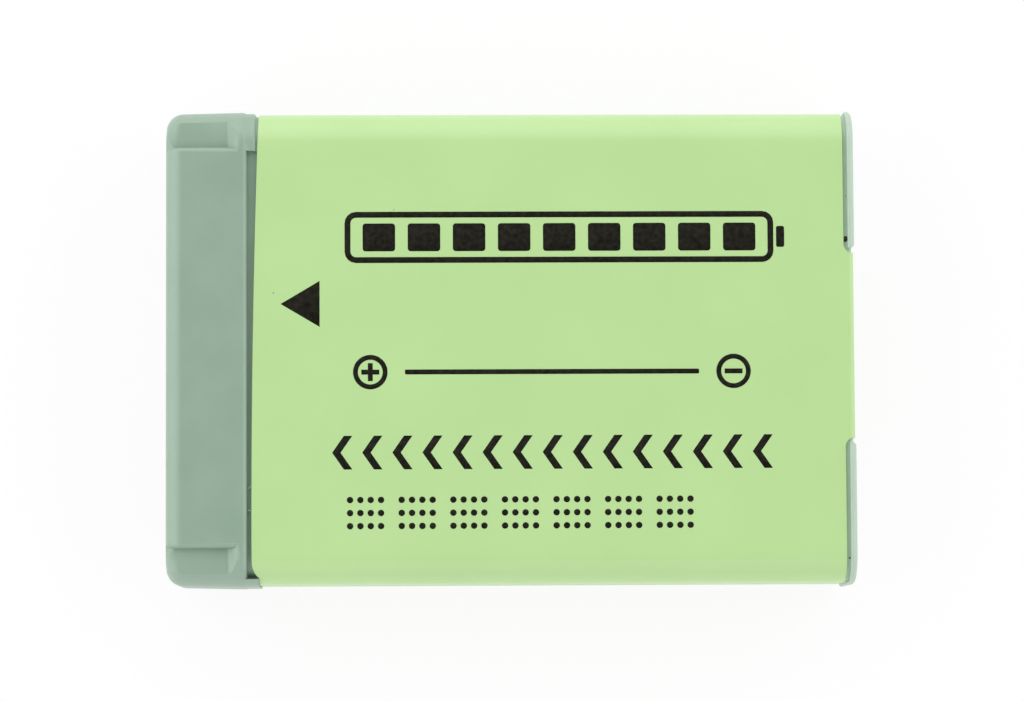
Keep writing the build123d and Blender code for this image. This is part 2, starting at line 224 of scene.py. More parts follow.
def make_piece(name: str, points: Points, faces: Numbers) -> bpy.types.Object:
    """Makes a smooth-shaded mesh object at the origin from points in mm.

    Args:
        name: Name of the object and its mesh.
        points: Three coordinates per point, in mm.
        faces: Point numbers of each face.

    Returns:
        The linked object.
    """
    mesh = bpy.data.meshes.new(name)
    mesh.from_pydata((points * MM).tolist(), [], faces.tolist())
    mesh.polygons.foreach_set("use_smooth", np.ones(len(mesh.polygons), bool))
    mesh.update()
    piece = bpy.data.objects.new(name, mesh)
    bpy.context.scene.collection.objects.link(piece)
    return piece


def add_node(tree: bpy.types.NodeTree, kind: str, **sockets: object) -> bpy.types.Node:
    """Adds a node and sets input sockets by name, with underscores for spaces.

    Args:
        tree: Node tree that gets the node.
        kind: Blender's identifier of the node.
        **sockets: Values of the node's inputs.

    Returns:
        The new node.
    """
    node = tree.nodes.new(kind)
    for label, value in sockets.items():
        node.inputs[label.replace("_", " ")].default_value = value
    return node


@dataclass(frozen=True)
class Finish:
    """A surface: two close shades that drift into each other, fine relief and uneven gloss.

    Sizes are in mm. The relief's depth is the height that its noise spans.
    """

    name: str
    shade: Colour
    light: Colour
    mottle: float = 4.0
    grain: float = 0.2
    depth: float = 0.002
    smoothest: float = 0.4
    roughest: float = 0.5
    metallic: float = 0.0
    specular: float = 0.5
    run: Grain = Grain.EVEN

    def noise(
        self, tree: bpy.types.NodeTree, place: bpy.types.NodeSocket, size: float
    ) -> bpy.types.Node:
        """Adds a noise whose features are about a given size.

        Args:
            tree: The material's node tree.
            place: Coordinates that the noise reads.
            size: Feature size, in mm.

        Returns:
            The noise node.
        """
        node = add_node(tree, "ShaderNodeTexNoise", Scale=1 / (size * MM))
        node.inputs["Detail"].default_value = NOISE_DETAIL
        node.inputs["Roughness"].default_value = NOISE_ROUGHNESS
        tree.links.new(place, node.inputs["Vector"])
        return node

    def spread(
        self, tree: bpy.types.NodeTree, source: bpy.types.NodeSocket, low: float, high: float
    ) -> bpy.types.NodeSocket:
        """Stretches a noise's middle values over a range.

        Args:
            tree: The material's node tree.
            source: The noise's value.
            low: Result at the noise's low values.
            high: Result at the noise's high values.

        Returns:
            The stretched value.
        """
        node = add_node(tree, "ShaderNodeMapRange", To_Min=low, To_Max=high)
        node.inputs["From Min"].default_value = NOISE_LOW
        node.inputs["From Max"].default_value = NOISE_HIGH
        tree.links.new(source, node.inputs["Value"])
        return node.outputs["Result"]

    def drift(self, tree: bpy.types.NodeTree, amount: bpy.types.NodeSocket) -> bpy.types.NodeSocket:
        """Mixes the two shades by a varying amount.

        Args:
            tree: The material's node tree.
            amount: 0 for the darker shade, 1 for the lighter.

        Returns:
            The mixed colour.
        """
        node = tree.nodes.new("ShaderNodeMix")
        node.data_type = "RGBA"
        node.inputs[MIX_SHADE].default_value = self.shade
        node.inputs[MIX_LIGHT].default_value = self.light
        tree.links.new(amount, node.inputs[MIX_AMOUNT])
        return node.outputs[MIX_RESULT]

    def material(self) -> bpy.types.Material:
        """Builds the finish as a node material on object coordinates.

        Returns:
            The material.
        """
        made = bpy.data.materials.get(self.name)
        if made:
            return made
        made = bpy.data.materials.new(self.name)
        made.use_nodes = True
        tree = made.node_tree
        surface = tree.nodes["Principled BSDF"]
        surface.inputs["Metallic"].default_value = self.metallic
        surface.inputs["Specular IOR Level"].default_value = self.specular
        coordinates = tree.nodes.new("ShaderNodeTexCoord")
        turned = add_node(tree, "ShaderNodeMapping", Scale=self.run.value)
        tree.links.new(coordinates.outputs["Object"], turned.inputs["Vector"])
        cloud = self.noise(tree, coordinates.outputs["Object"], self.mottle)
        relief = self.noise(tree, turned.outputs["Vector"], self.grain)
        amount = self.spread(tree, cloud.outputs["Fac"], 0.0, 1.0)
        tree.links.new(self.drift(tree, amount), surface.inputs["Base Color"])
        gloss = self.spread(tree, relief.outputs["Fac"], self.smoothest, self.roughest)
        tree.links.new(gloss, surface.inputs["Roughness"])
        bump = add_node(tree, "ShaderNodeBump", Strength=1.0, Distance=self.depth * MM)
        tree.links.new(relief.outputs["Fac"], bump.inputs["Height"])
        tree.links.new(bump.outputs["Normal"], surface.inputs["Normal"])
        return made


FILM = Finish(
    name="film_light_green",
    shade=linear(179, 214, 147),
    light=linear(183, 218, 151),
    mottle=7.0,
    grain=0.35,
    depth=0.0012,
    smoothest=0.3,
    roughest=0.36,
    specular=0.6,
)
MOULDING = Finish(
    name="moulding_grey_green",
    shade=linear(136, 162, 142),
    light=linear(142, 167, 148),
    mottle=3.0,
    grain=0.16,
    depth=0.003,
    smoothest=0.34,
    roughest=0.44,
    specular=1.0,
)
# Paler than the cap's moulding: partly the tail frame's own lighter shade, partly painted light
# that lifts the rim's highlight and lightens the shade in the ledge beside the film.
TAIL_MOULDING_WITH_PAINTED_LIGHT = Finish(
    name="moulding_tail_pale",
    shade=linear(172, 195, 174),
    light=linear(178, 201, 180),
    mottle=2.0,
    grain=0.16,
    depth=0.003,
    smoothest=0.34,
    roughest=0.44,
    specular=0.75,
)
INK = Finish(
    name="print_black",
    shade=linear(9, 9, 4),
    light=linear(36, 34, 26),
    mottle=0.3,
    grain=0.12,
    depth=0.004,
    smoothest=0.5,
    roughest=0.65,
    specular=0.1,
)
GRIT = Finish(
    name="grit_black",
    shade=linear(16, 16, 14),
    light=linear(34, 34, 28),
    mottle=0.1,
    grain=0.05,
    depth=0.01,
    smoothest=0.5,
    roughest=0.7,
)
BURR = Finish(
    name="burr_pale",
    shade=linear(178, 200, 180),
    light=linear(190, 211, 192),
    mottle=0.1,
    grain=0.05,
    depth=0.002,
    smoothest=0.5,
    roughest=0.7,
)
CAN = Finish(
    name="can_aluminium",
    shade=linear(196, 197, 199),
    light=linear(214, 215, 217),
    mottle=5.0,
    grain=0.12,
    depth=0.002,
    smoothest=0.28,
    roughest=0.42,
    metallic=1.0,
    run=Grain.ALONG,
)
NICKEL = Finish(
    name="strip_nickel",
    shade=linear(186, 182, 172),
    light=linear(206, 202, 192),
    mottle=1.2,
    grain=0.08,
    depth=0.001,
    smoothest=0.24,
    roughest=0.36,
    metallic=1.0,
    run=Grain.UPRIGHT,
)
GOLD = Finish(
    name="contact_gold",
    shade=linear(222, 178, 84),
    light=linear(238, 196, 104),
    mottle=0.8,
    grain=0.07,
    depth=0.001,
    smoothest=0.18,
    roughest=0.32,
    metallic=1.0,
    run=Grain.UPRIGHT,
)
BOARD = Finish(
    name="board_green_lacquer",
    shade=linear(18, 74, 44),
    light=linear(26, 92, 54),
    mottle=1.0,
    grain=0.12,
    depth=0.002,
    smoothest=0.26,
    roughest=0.38,
)
INSULATION = Finish(
    name="insulation_fibre",
    shade=linear(200, 204, 186),
    light=linear(214, 217, 200),
    mottle=1.5,
    grain=0.1,
    depth=0.004,
    smoothest=0.7,
    roughest=0.85,
)
BLACK_MOULDING = Finish(
    name="moulding_black",
    shade=linear(28, 28, 30),
    light=linear(38, 38, 40),
    mottle=0.8,
    grain=0.08,
    depth=0.003,
    smoothest=0.5,
    roughest=0.65,
)
CHIP_BODY = Finish(
    name="chip_ceramic",
    shade=linear(150, 128, 100),
    light=linear(172, 150, 120),
    mottle=0.3,
    grain=0.05,
    depth=0.001,
    smoothest=0.4,
    roughest=0.55,
)
TAPE = Finish(
    name="tape_white",
    shade=linear(224, 224, 218),
    light=linear(234, 234, 229),
    mottle=1.0,
    grain=0.15,
    depth=0.003,
    smoothest=0.6,
    roughest=0.75,
)


def dress_piece(piece: bpy.types.Object, finish: Finish) -> None:
    """Gives one of the scene's own pieces its finish and lets it ride on the pack.

    Args:
        piece: The piece.
        finish: The finish that it gets.
    """
    piece.data.materials.append(finish.material())
    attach(piece, BODY)
    log.info("built %s, %d faces", piece.name, len(piece.data.polygons))


@dataclass
class CreasedNode:
    """Smooth shading, with creases kept at edges sharper than an angle in degrees."""

    crease: float = 26.0

    def shading_group(self) -> bpy.types.NodeTree:
        """Makes the node group that smooths all faces and creases each edge past the angle.

        Returns:
            The geometry node group, made once for each angle and shared.
        """
        name = f"crease_shading_{self.crease:.1f}"
        tree = bpy.data.node_groups.get(name)
        if tree:
            return tree
        tree = bpy.data.node_groups.new(name, "GeometryNodeTree")
        tree.is_modifier = True
        tree.interface.new_socket("Geometry", in_out="INPUT", socket_type="NodeSocketGeometry")
        tree.interface.new_socket("Geometry", in_out="OUTPUT", socket_type="NodeSocketGeometry")
        entry = tree.nodes.new("NodeGroupInput")
        result = tree.nodes.new("NodeGroupOutput")
        smooth = add_node(tree, "GeometryNodeSetShadeSmooth", Shade_Smooth=True)
        sharp = add_node(tree, "GeometryNodeSetShadeSmooth", Shade_Smooth=False)
        sharp.domain = "EDGE"
        angle = tree.nodes.new("GeometryNodeInputMeshEdgeAngle")
        steep = tree.nodes.new("FunctionNodeCompare")
        steep.operation = "GREATER_THAN"
        steep.inputs["B"].default_value = math.radians(self.crease)
        tree.links.new(angle.outputs["Unsigned Angle"], steep.inputs["A"])
        tree.links.new(steep.outputs["Result"], sharp.inputs["Selection"])
        tree.links.new(entry.outputs["Geometry"], smooth.inputs["Geometry"])
        tree.links.new(smooth.outputs["Geometry"], sharp.inputs["Geometry"])
        tree.links.new(sharp.outputs["Geometry"], result.inputs["Geometry"])
        return tree

    def smooth(self, piece: bpy.types.Object) -> None:
        """Shades a piece smooth between its creases, with the normals of its large faces kept.

        Args:
            piece: The CAD node or the piece.
        """
        shading = piece.modifiers.new("crease_shading", "NODES")
        shading.node_group = self.shading_group()
        weighted = piece.modifiers.new("flat_faces_first", "WEIGHTED_NORMAL")
        weighted.keep_sharp = True

    def dress(self, name: str, finish: Finish) -> None:
        """Gives a CAD node its finish, joins its loose triangles and smooths its rounds.

        Args:
            name: The node's name.
            finish: The finish that it gets.
        """
        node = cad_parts[name]
        node.data.materials.clear()
        node.data.materials.append(finish.material())
        weld = node.modifiers.new("join_triangles", "WELD")
        weld.merge_threshold = WELD_DISTANCE
        self.smooth(node)
        log.info("dressed %s in %s", name, finish.name)


@dataclass
class PrintedSleeve:
    """The printed film round the cell, with its butt seam and the tongue over the tail, in mm.

    The film's head edge was cut a little out of square: skew and bow say by how much. At the seam
    side its corner is cut round, from cut_start on, to leave room for the cap's flange. The steps
    are the numbers of points along each run.
    """

    head: float = -15.84
    base: float = 20.535
    width: float = 29.08
    height: float = 8.88
    middle: float = 4.6
    corner: float = 1.94
    thickness: float = 0.12
    seam: float = 0.2
    skew: float = 0.0149
    bow: float = 0.0007
    cut_start: float = 13.2
    cut_end: float = 14.15
    cut_depth: float = 0.42
    tail_skew: float = -0.001
    tongue_half: float = 5.7
    tongue_face: float = 21.15
    tongue_tip: float = 1.4
    root_radius: float = 0.55
    fold_radius: float = 0.32
    tip_radius: float = 0.8
    length_steps: int = 73
    round_steps: int = 13
    rise_steps: int = 8
    beside_steps: int = 12
    root_steps: int = 41
    side_steps: int = 12
    back_steps: int = 41
    level_steps: int = 13
    fold_steps: int = 13
    drop_steps: int = 25
    tip_steps: int = 11
    shading: CreasedNode = field(default_factory=lambda: CreasedNode(crease=50.0))

    @property
    def face(self) -> float:
        """Height of the film's front face."""
        return self.middle + self.height / 2

    @property
    def root_half(self) -> float:
        """Half the tongue's width where its round roots meet the panel."""
        return self.tongue_half + self.root_radius

    def head_edge(self, across: Points) -> Points:
        """Place of the film's head edge along x.

        It is the head, plus skew times y, plus bow times y squared. At the seam side the rise of
        a circle is added, whose radius takes it from nothing at cut_start to cut_depth at cut_end.

        Args:
            across: y of each point of the edge.

        Returns:
            x of each point of the edge.
        """
        span = self.cut_end - self.cut_start
        radius = (span**2 + self.cut_depth**2) / (2 * self.cut_depth)
        into = np.clip(-across - self.cut_start, 0, span)
        rise = radius - np.sqrt(radius**2 - into**2)
        return self.head + self.skew * across + self.bow * across**2 + rise

    def tail_edge(self, across: Points) -> Points:
        """Place of the film's tail edge: base at the tongue, and tail_skew times y beside it."""
        beside = np.sign(across) * np.clip(np.abs(across) - self.root_half, 0, None)
        return self.base + self.tail_skew * beside

    def section(self) -> Points:
        """Outline of the sleeve across the cell, from one lip of the seam round to the other.

        Straight runs at half the width and half the height are joined by quarter circles: corner
        centre plus corner radius times (cosine, sine). The front run has a point at each root of
        the tongue and even steps between them.

        Returns:
            y and z of each point about mid-thickness.
        """
        flat_y = self.width / 2 - self.corner
        flat_z = self.height / 2 - self.corner
        quarter = np.linspace(0, np.pi / 2, self.round_steps)
        starts = (np.pi, np.pi / 2, 0.0, -np.pi / 2)
        angles = np.concatenate([start - quarter for start in starts])
        turns = np.stack((np.cos(angles), np.sin(angles)), axis=-1)
        centres = np.repeat(np.array(((-1, 1), (1, 1), (1, -1), (-1, -1))), len(quarter), axis=0)
        rounds = centres * (flat_y, flat_z) + self.corner * turns
        beside = np.linspace(-flat_y, -self.root_half, self.beside_steps)[1:-1]
        between = np.linspace(-self.root_half, self.root_half, self.root_steps)
        front = np.concatenate((beside, between, -beside[::-1]))
        back = np.linspace(flat_y, -flat_y, self.back_steps)[1:-1]
        rise = np.linspace(self.seam / 2, flat_z, self.rise_steps)[:-1]
        side = np.linspace(flat_z, -flat_z, self.side_steps)[1:-1]
        runs = (
            (np.full_like(rise, -self.width / 2), rise),
            (front, np.full_like(front, self.height / 2)),
            (np.full_like(side, self.width / 2), side),
            (back, np.full_like(back, -self.height / 2)),
            (np.full_like(rise, -self.width / 2), -rise[::-1]),
        )
        straights = [np.stack(run, axis=-1) for run in runs]
        order = [part for pair in zip(straights, np.split(rounds, 4)) for part in pair]
        return np.concatenate(order + straights[4:])

    def tongue(self, lanes: Points) -> Points:
        """Surface of the tongue, over the frame's edge and down its end.

        Along its length s the path runs level, turns a quarter circle of the fold radius, and
        runs straight down to the tip. Across it, y is the lane from -1 to 1 times the half width,
        which at the root is the tongue's half plus the root radius less a circle's height, and at
        the tip is the half less the tip radius plus a circle's height.

        Args:
            lanes: Place of each column across the tongue, -1 to 1.

        Returns:
            Grid of points, row by row from the panel's edge to the tip.
        """
        level = self.tongue_face - self.fold_radius - self.base
        turn = self.fold_radius * np.pi / 2
        total = level + turn + self.face - self.fold_radius - self.tongue_tip
        start = level * np.linspace(0, 1, self.level_steps) ** 2
        fold = level + turn * np.linspace(0, 1, self.fold_steps)[1:]
        drop = np.linspace(level + turn, total - self.tip_radius, self.drop_steps)[1:]
        tip = total - self.tip_radius * (1 - np.sin(np.linspace(0, np.pi / 2, self.tip_steps)[1:]))
        run = np.concatenate((start, fold, drop, tip))
        angle = np.clip((run - level) / self.fold_radius, 0, np.pi / 2)
        ahead = np.minimum(run, level) + self.fold_radius * np.sin(angle)
        down = self.fold_radius * (1 - np.cos(angle)) + np.maximum(run - level - turn, 0)
        root = np.clip(self.root_radius - ahead, 0, None)
        flare = self.root_radius - np.sqrt(self.root_radius**2 - root**2)
        short = np.clip(self.tip_radius - (total - run), 0, self.tip_radius)
        tuck = self.tip_radius - np.sqrt(self.tip_radius**2 - short**2)
        half = self.tongue_half + flare - tuck
        along = np.repeat((self.base + ahead)[:, None], len(lanes), axis=1)
        upward = np.repeat((self.face - down)[:, None], len(lanes), axis=1)
        return np.stack((along, half[:, None] * lanes, upward), axis=-1)

    def build(self) -> bpy.types.Object:
        """Builds the film: sleeve and tongue as one sheet, then its thickness and its shading.

        The sleeve carries the section along x from the head edge to the tail edge. The tongue's
        first row is the panel's last, so the sheet has no joint there.

        Returns:
            The film.
        """
        outline = self.section()
        share = np.linspace(0, 1, self.length_steps)[:, None]
        head = self.head_edge(outline[:, 0])
        along = head + share * (self.tail_edge(outline[:, 0]) - head)
        across = np.broadcast_to(outline[:, 0], along.shape)
        upward = np.broadcast_to(self.middle + outline[:, 1], along.shape)
        sleeve = np.stack((along, across, upward), axis=-1)
        numbers = np.arange(along.size).reshape(along.shape)
        on_front = outline[:, 1] > self.height / 2 - SAME_LINE
        columns = np.flatnonzero(on_front & (np.abs(outline[:, 0]) < self.root_half + SAME_LINE))
        tongue = self.tongue(outline[columns, 0] / self.root_half)[1:]
        further = along.size + np.arange(tongue[..., 0].size).reshape(tongue.shape[:2])
        joined = np.vstack((numbers[-1, columns], further))
        points = np.concatenate((sleeve.reshape(-1, 3), tongue.reshape(-1, 3)))
        piece = make_piece("label_film", points, np.concatenate((quads(numbers), quads(joined))))
        wall = piece.modifiers.new("film_thickness", "SOLIDIFY")
        wall.thickness = self.thickness * MM
        wall.offset = -1
        wall.use_even_offset = True
        self.shading.smooth(piece)
        return piece

    def dress(self, piece: bpy.types.Object) -> None:
        """Gives the film its finish and puts it in the place of its CAD node."""
        dress_piece(piece, FILM)
        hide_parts("label_wrap")


@dataclass
class FacePrint:
    """Black print on the film's front: an insertion arrow and plain marks, in mm."""

    sleeve: PrintedSleeve
    layer: float = 0.006
    layer_lift: float = 0.0012
    arrow_tip: tuple[float, float] = (-14.13, 2.63)
    arrow_length: float = 2.39
    arrow_width: float = 2.83
    gauge_middle: tuple[float, float] = (3.0, 6.72)
    gauge_width: float = 26.4
    gauge_height: float = 3.16
    gauge_line: float = 0.36
    gauge_corner: float = 0.7
    gauge_bars: int = 9
    bar_share: float = 0.72
    bar_corner: float = 0.18
    stud_width: float = 0.5
    stud_height: float = 1.3
    stud_corner: float = 0.12
    stud_reach: float = 0.42
    polarity_row: float = -1.58
    polarity_ends: tuple[float, float] = (-8.64, 13.67)
    sign_size: float = 2.12
    sign_line: float = 0.3
    sign_steps: int = 12
    arm_share: float = 0.26
    rule_corner: float = 0.08
    chevron_row: float = -6.52
    chevron_ends: tuple[float, float] = (-10.99, 14.8)
    chevrons_along: int = 15
    chevron_height: float = 2.07
    chevron_depth: float = 0.72
    chevron_line: float = 0.52
    dots_row: float = -10.22
    dots_ends: tuple[float, float] = (-9.9, 10.95)
    dots_across: int = 34
    dot_group: int = 4
    dot_pitch: float = 0.8
    dot_size: float = 0.4
    dot_steps: int = 4

    def arrow(self) -> Patch:
        """Solid triangle: its tip towards the contacts, its base square to the length.

        Its corners lie about the centroid: the tip two thirds of the length ahead of it, and the
        base's ends one third behind it and half the width to each side.

        Returns:
            The patch of the triangle.
        """
        thirds = np.array(((-2, 0), (1, -1.5), (1, 1.5)))
        corners = thirds * (self.arrow_length / 3, self.arrow_width / 3)
        middle = np.array(self.arrow_tip) + (2 * self.arrow_length / 3, 0)
        return stamp(corners, middle[None, :])

    def gauge(self) -> list[Patch]:
        """Charge gauge: a long round-cornered frame with a stud at its end and even solid bars.

        The frame is the band between two rounded outlines one line width apart. The bars share
        the room inside it, less one more line width all round, in even steps about the middle.

        Returns:
            Patches of the frame, the stud and the bars.
        """
        middle = np.array(self.gauge_middle)
        inset = 2 * self.gauge_line
        inner_corner = self.gauge_corner - self.gauge_line
        outer = rounded_loop(self.gauge_width, self.gauge_height, self.gauge_corner)
        inner = rounded_loop(self.gauge_width - inset, self.gauge_height - inset, inner_corner)
        stud = rounded_loop(self.stud_width, self.stud_height, self.stud_corner)
        pitch = (self.gauge_width - 2 * inset) / self.gauge_bars
        bar = rounded_loop(pitch * self.bar_share, self.gauge_height - 2 * inset, self.bar_corner)
        steps = (np.arange(self.gauge_bars) - (self.gauge_bars - 1) / 2) * pitch
        rows = np.stack((steps, np.zeros_like(steps)), axis=-1)
        side = np.array(((self.gauge_width / 2 + self.stud_reach, 0.0),))
        rim = hoop(outer, inner, middle[None, :])
        return [rim, stamp(stud, middle + side), stamp(bar, middle + rows)]

    def polarity(self) -> list[Patch]:
        """Plus and minus, each in a ring, with a thin rule between them.

        A ring is the band between two circles one line width apart. The minus is a bar of two
        arms' length, and the plus is one outline: the corners of one arm in four quarter turns.
        The rule runs between the rings' middles, less one sign size at each end.

        Returns:
            Patches of the rings, the signs and the rule.
        """
        ends = np.array([(along, self.polarity_row) for along in self.polarity_ends])
        size = self.sign_size
        clear = size - 2 * self.sign_line
        outer = rounded_loop(size, size, size / 2, self.sign_steps)
        inner = rounded_loop(clear, clear, size / 2 - self.sign_line, self.sign_steps)
        ring = hoop(outer, inner, ends)
        arm = size * self.arm_share
        half = self.sign_line / 2
        minus = np.array(((arm, -half), (arm, half), (-arm, half), (-arm, -half)))
        quarter = np.array(((arm, -half), (arm, half), (half, half)))
        turns = [quarter, quarter[:, ::-1] * (-1, 1), -quarter, quarter[:, ::-1] * (1, -1)]
        span = self.polarity_ends[1] - self.polarity_ends[0] - 2 * size
        rule = rounded_loop(span, self.sign_line, self.rule_corner)
        middle = ends.mean(axis=0, keepdims=True)
        plus = stamp(np.concatenate(turns), ends[:1])
        return [ring, plus, stamp(minus, ends[1:]), stamp(rule, middle)]

    def chevrons(self) -> Patch:
        """Row of even chevrons that point the way the arrow does.

        Each is two slanted strokes: a strip of quads from the outside of its bend to the same line
        one stroke width further on, split into triangles.

        Returns:
            The patch of all chevrons.
        """
        along = np.linspace(*self.chevron_ends, self.chevrons_along)
        places = np.stack((along, np.full_like(along, self.chevron_row)), axis=-1)
        tall = self.chevron_height / 2
        outside = np.array(((self.chevron_depth, -tall), (0.0, 0.0), (self.chevron_depth, tall)))
        shape = np.concatenate((outside, outside + (self.chevron_line, 0.0)))
        strip = quads(np.arange(len(shape)).reshape(2, -1))
        points = (places[:, None, :] + shape).reshape(-1, 2)
        halves = np.concatenate((strip[:, (0, 2, 1)], strip[:, (0, 3, 2)]))
        starts = np.arange(len(places)) * len(shape)
        return points, (starts[:, None, None] + halves).reshape(-1, 3)

    def dots(self) -> Patch:
        """Three even rows of round dots, in groups with one dot left out after each group.

        The columns are even steps between the ends, and the rows lie one pitch apart.

        Returns:
            The patch of all dots.
        """
        along = np.linspace(*self.dots_ends, self.dots_across)
        kept = along[np.arange(self.dots_across) % (self.dot_group + 1) != self.dot_group]
        across = self.dots_row + self.dot_pitch * np.array((-1, 0, 1))
        places = np.stack(np.meshgrid(kept, across), axis=-1).reshape(-1, 2)
        dot = rounded_loop(self.dot_size, self.dot_size, self.dot_size / 2, self.dot_steps)
        return stamp(dot, places)

    def build(self) -> bpy.types.Object:
        """Lays all marks on the film, layer_lift above its face.

        Returns:
            The print, one thin layer.
        """
        patches = [self.arrow(), *self.gauge(), *self.polarity(), self.chevrons(), self.dots()]
        flat, faces = gather(patches)
        height = np.full(len(flat), self.sleeve.face + self.layer_lift)
        piece = make_piece("face_print", np.column_stack((flat, height)), faces)
        wall = piece.modifiers.new("ink_thickness", "SOLIDIFY")
        wall.thickness = self.layer * MM
        wall.offset = 1
        return piece

    def dress(self, piece: bpy.types.Object) -> None:
        """Gives the print its ink."""
        dress_piece(piece, INK)


@dataclass
class ContactCap:
    """The moulded cap of the contact end and the three contacts behind its windows.

    The crease lies between the pockets' ramps, which are smoothed, and the windows' chamfers,
    which stay sharp so that the end face stays even.
    """

    shell: str = "contact_cap"
    contacts: tuple[str, ...] = ("positive_contact", "sense_contact", "negative_contact")
    shading: CreasedNode = field(default_factory=lambda: CreasedNode(crease=42.7))

    def dress(self) -> None:
        """Gives the cap its moulded finish and the contacts their plating."""
        self.shading.dress(self.shell, MOULDING)
        for name in self.contacts:
            self.shading.dress(name, GOLD)


@dataclass
class TailFrame:
    """The moulded frame of the tail and the tape under it."""

    plate: str = "tail_frame"
    tape: str = "tail_tape"
    shading: CreasedNode = field(default_factory=lambda: CreasedNode(crease=50.0))

    def dress(self) -> None:
        """Gives the frame its moulded finish, paler partly as painted light, and the tape its own.
        """
        # The frame's finish is its own paler shade plus painted light: a painted highlight on the
        # rim and less shade in the ledge.
        self.shading.dress(self.plate, TAIL_MOULDING_WITH_PAINTED_LIGHT)
        self.shading.dress(self.tape, TAPE)


@dataclass
class LooseBits:
    """Grit that lies on the pack and burrs left at the film's edges, in mm and degrees."""

    grit_at: tuple[tuple[float, float, float], ...] = (
        (20.69, 6.6, 8.9),
        (20.72, -13.07, 8.84),
        (20.72, 9.2, 8.9),
        (-14.59, 3.31, 9.04),
        (-7.16, 8.41, 9.04),
    )
    grit_radius: tuple[float, ...] = (0.18, 0.05, 0.03, 0.035, 0.03)
    grit_heading: tuple[float, ...] = (225.0, 250.0, 90.0, 20.0, 120.0)
    grit_round: float = 0.8
    grit_point: float = 0.75
    grit_taper: int = 8
    grit_rise: float = 0.5
    grit_rings: int = 6
    grit_turns: int = 24
    burr_roots: tuple[tuple[float, float, float], ...] = (
        (-16.21, -8.78, 8.76),
        (-16.21, -9.98, 8.76),
        (20.62, 10.97, 8.88),
        (20.64, 7.54, 8.88),
    )
    burr_tips: tuple[tuple[float, float, float], ...] = (
        (-15.9, -8.47, 8.98),
        (-15.93, -10.06, 8.96),
        (20.72, 10.93, 8.97),
        (20.76, 7.43, 8.98),
    )
    burr_radius: float = 0.032
    burr_rings: int = 9
    burr_turns: int = 12

    def grit(self) -> bpy.types.Object:
        """Builds the specks: low domes whose outline is a drop.

        At the angle a from its heading, a drop's reach is its radius times the sum of grit_round
        and grit_point times cosine of half of a to the power grit_taper. Over the share t, from 0
        at the crown to 1 at the foot, a point lies t times that reach out, and grit_rise times the
        radius times (1 - t squared) up. A last ring at the foot's middle closes it from below.

        Returns:
            The specks, one object.
        """
        dome = np.linspace(0, 1, self.grit_rings)
        rings = np.append(dome, 0)[:, None]
        rise = np.append(1 - dome**2, 0)[:, None]
        angle = np.linspace(0, 2 * np.pi, self.grit_turns, endpoint=False)
        reach = self.grit_round + self.grit_point * np.cos(angle / 2) ** self.grit_taper
        headings = np.radians(np.array(self.grit_heading))[:, None, None]
        sizes = np.array(self.grit_radius)[:, None, None]
        places = np.array(self.grit_at)[:, None, None, :]
        out = sizes * rings * reach
        along = out * np.cos(angle + headings)
        across = out * np.sin(angle + headings)
        upward = np.broadcast_to(self.grit_rise * sizes * rise, out.shape)
        return self.closed("grit", places + np.stack((along, across, upward), axis=-1))

    def burrs(self) -> bpy.types.Object:
        """Builds the burrs: short hairs, thickest in the middle.

        Each runs straight from its root to its tip. At the share t of that run it is a ring across
        the run, of burr_radius times the square root of sine of pi t.

        Returns:
            The burrs, one object.
        """
        share = np.linspace(0, 1, self.burr_rings)
        angle = np.linspace(0, 2 * np.pi, self.burr_turns, endpoint=False)[:, None]
        roots = np.array(self.burr_roots)
        runs = np.array(self.burr_tips) - roots
        level = np.cross((0.0, 0.0, 1.0), runs)
        level /= np.linalg.norm(level, axis=1, keepdims=True)
        upright = np.cross(level, runs)
        upright /= np.linalg.norm(upright, axis=1, keepdims=True)
        around = np.cos(angle) * level[:, None, :] + np.sin(angle) * upright[:, None, :]
        middles = roots[:, None, :] + share[:, None] * runs[:, None, :]
        radius = self.burr_radius * np.sqrt(np.clip(np.sin(np.pi * share), 0, None))
        rings = radius[:, None, None] * around[:, None, :, :]
        return self.closed("edge_burrs", middles[:, :, None, :] + rings)

    def closed(self, name: str, grids: Points) -> bpy.types.Object:
        """Makes one object of several grids whose rows are rings, and joins each ring of no size.

        Args:
            name: The object's name.
            grids: Points of each grid, ring by ring.

        Returns:
            The object.
        """
        count, rows, columns = grids.shape[:3]
        numbers = np.arange(rows * columns).reshape(rows, columns)
        strip = quads(np.column_stack((numbers, numbers[:, 0])))
        starts = np.arange(count) * numbers.size
        faces = (starts[:, None, None] + strip).reshape(-1, 4)
        piece = make_piece(name, grids.reshape(-1, 3), faces)
        weld = piece.modifiers.new("close_ends", "WELD")
        weld.merge_threshold = WELD_DISTANCE
        return piece

    def build(self) -> None:
        """Builds and dresses the grit and the burrs."""
        dress_piece(self.grit(), GRIT)
        dress_piece(self.burrs(), BURR)


@dataclass
class SealedCell:
    """The sealed cell under the film: can, plug, terminal and the sheet on its lid."""

    shading: CreasedNode = field(default_factory=CreasedNode)

    def dress(self) -> None:
        """Gives each node of the cell its finish."""
        self.shading.dress("cell_can", CAN)
        self.shading.dress("fill_plug", CAN)
        self.shading.dress("terminal_gasket", BLACK_MOULDING)
        self.shading.dress("terminal_rivet", NICKEL)
        self.shading.dress("lid_insulator", INSULATION)


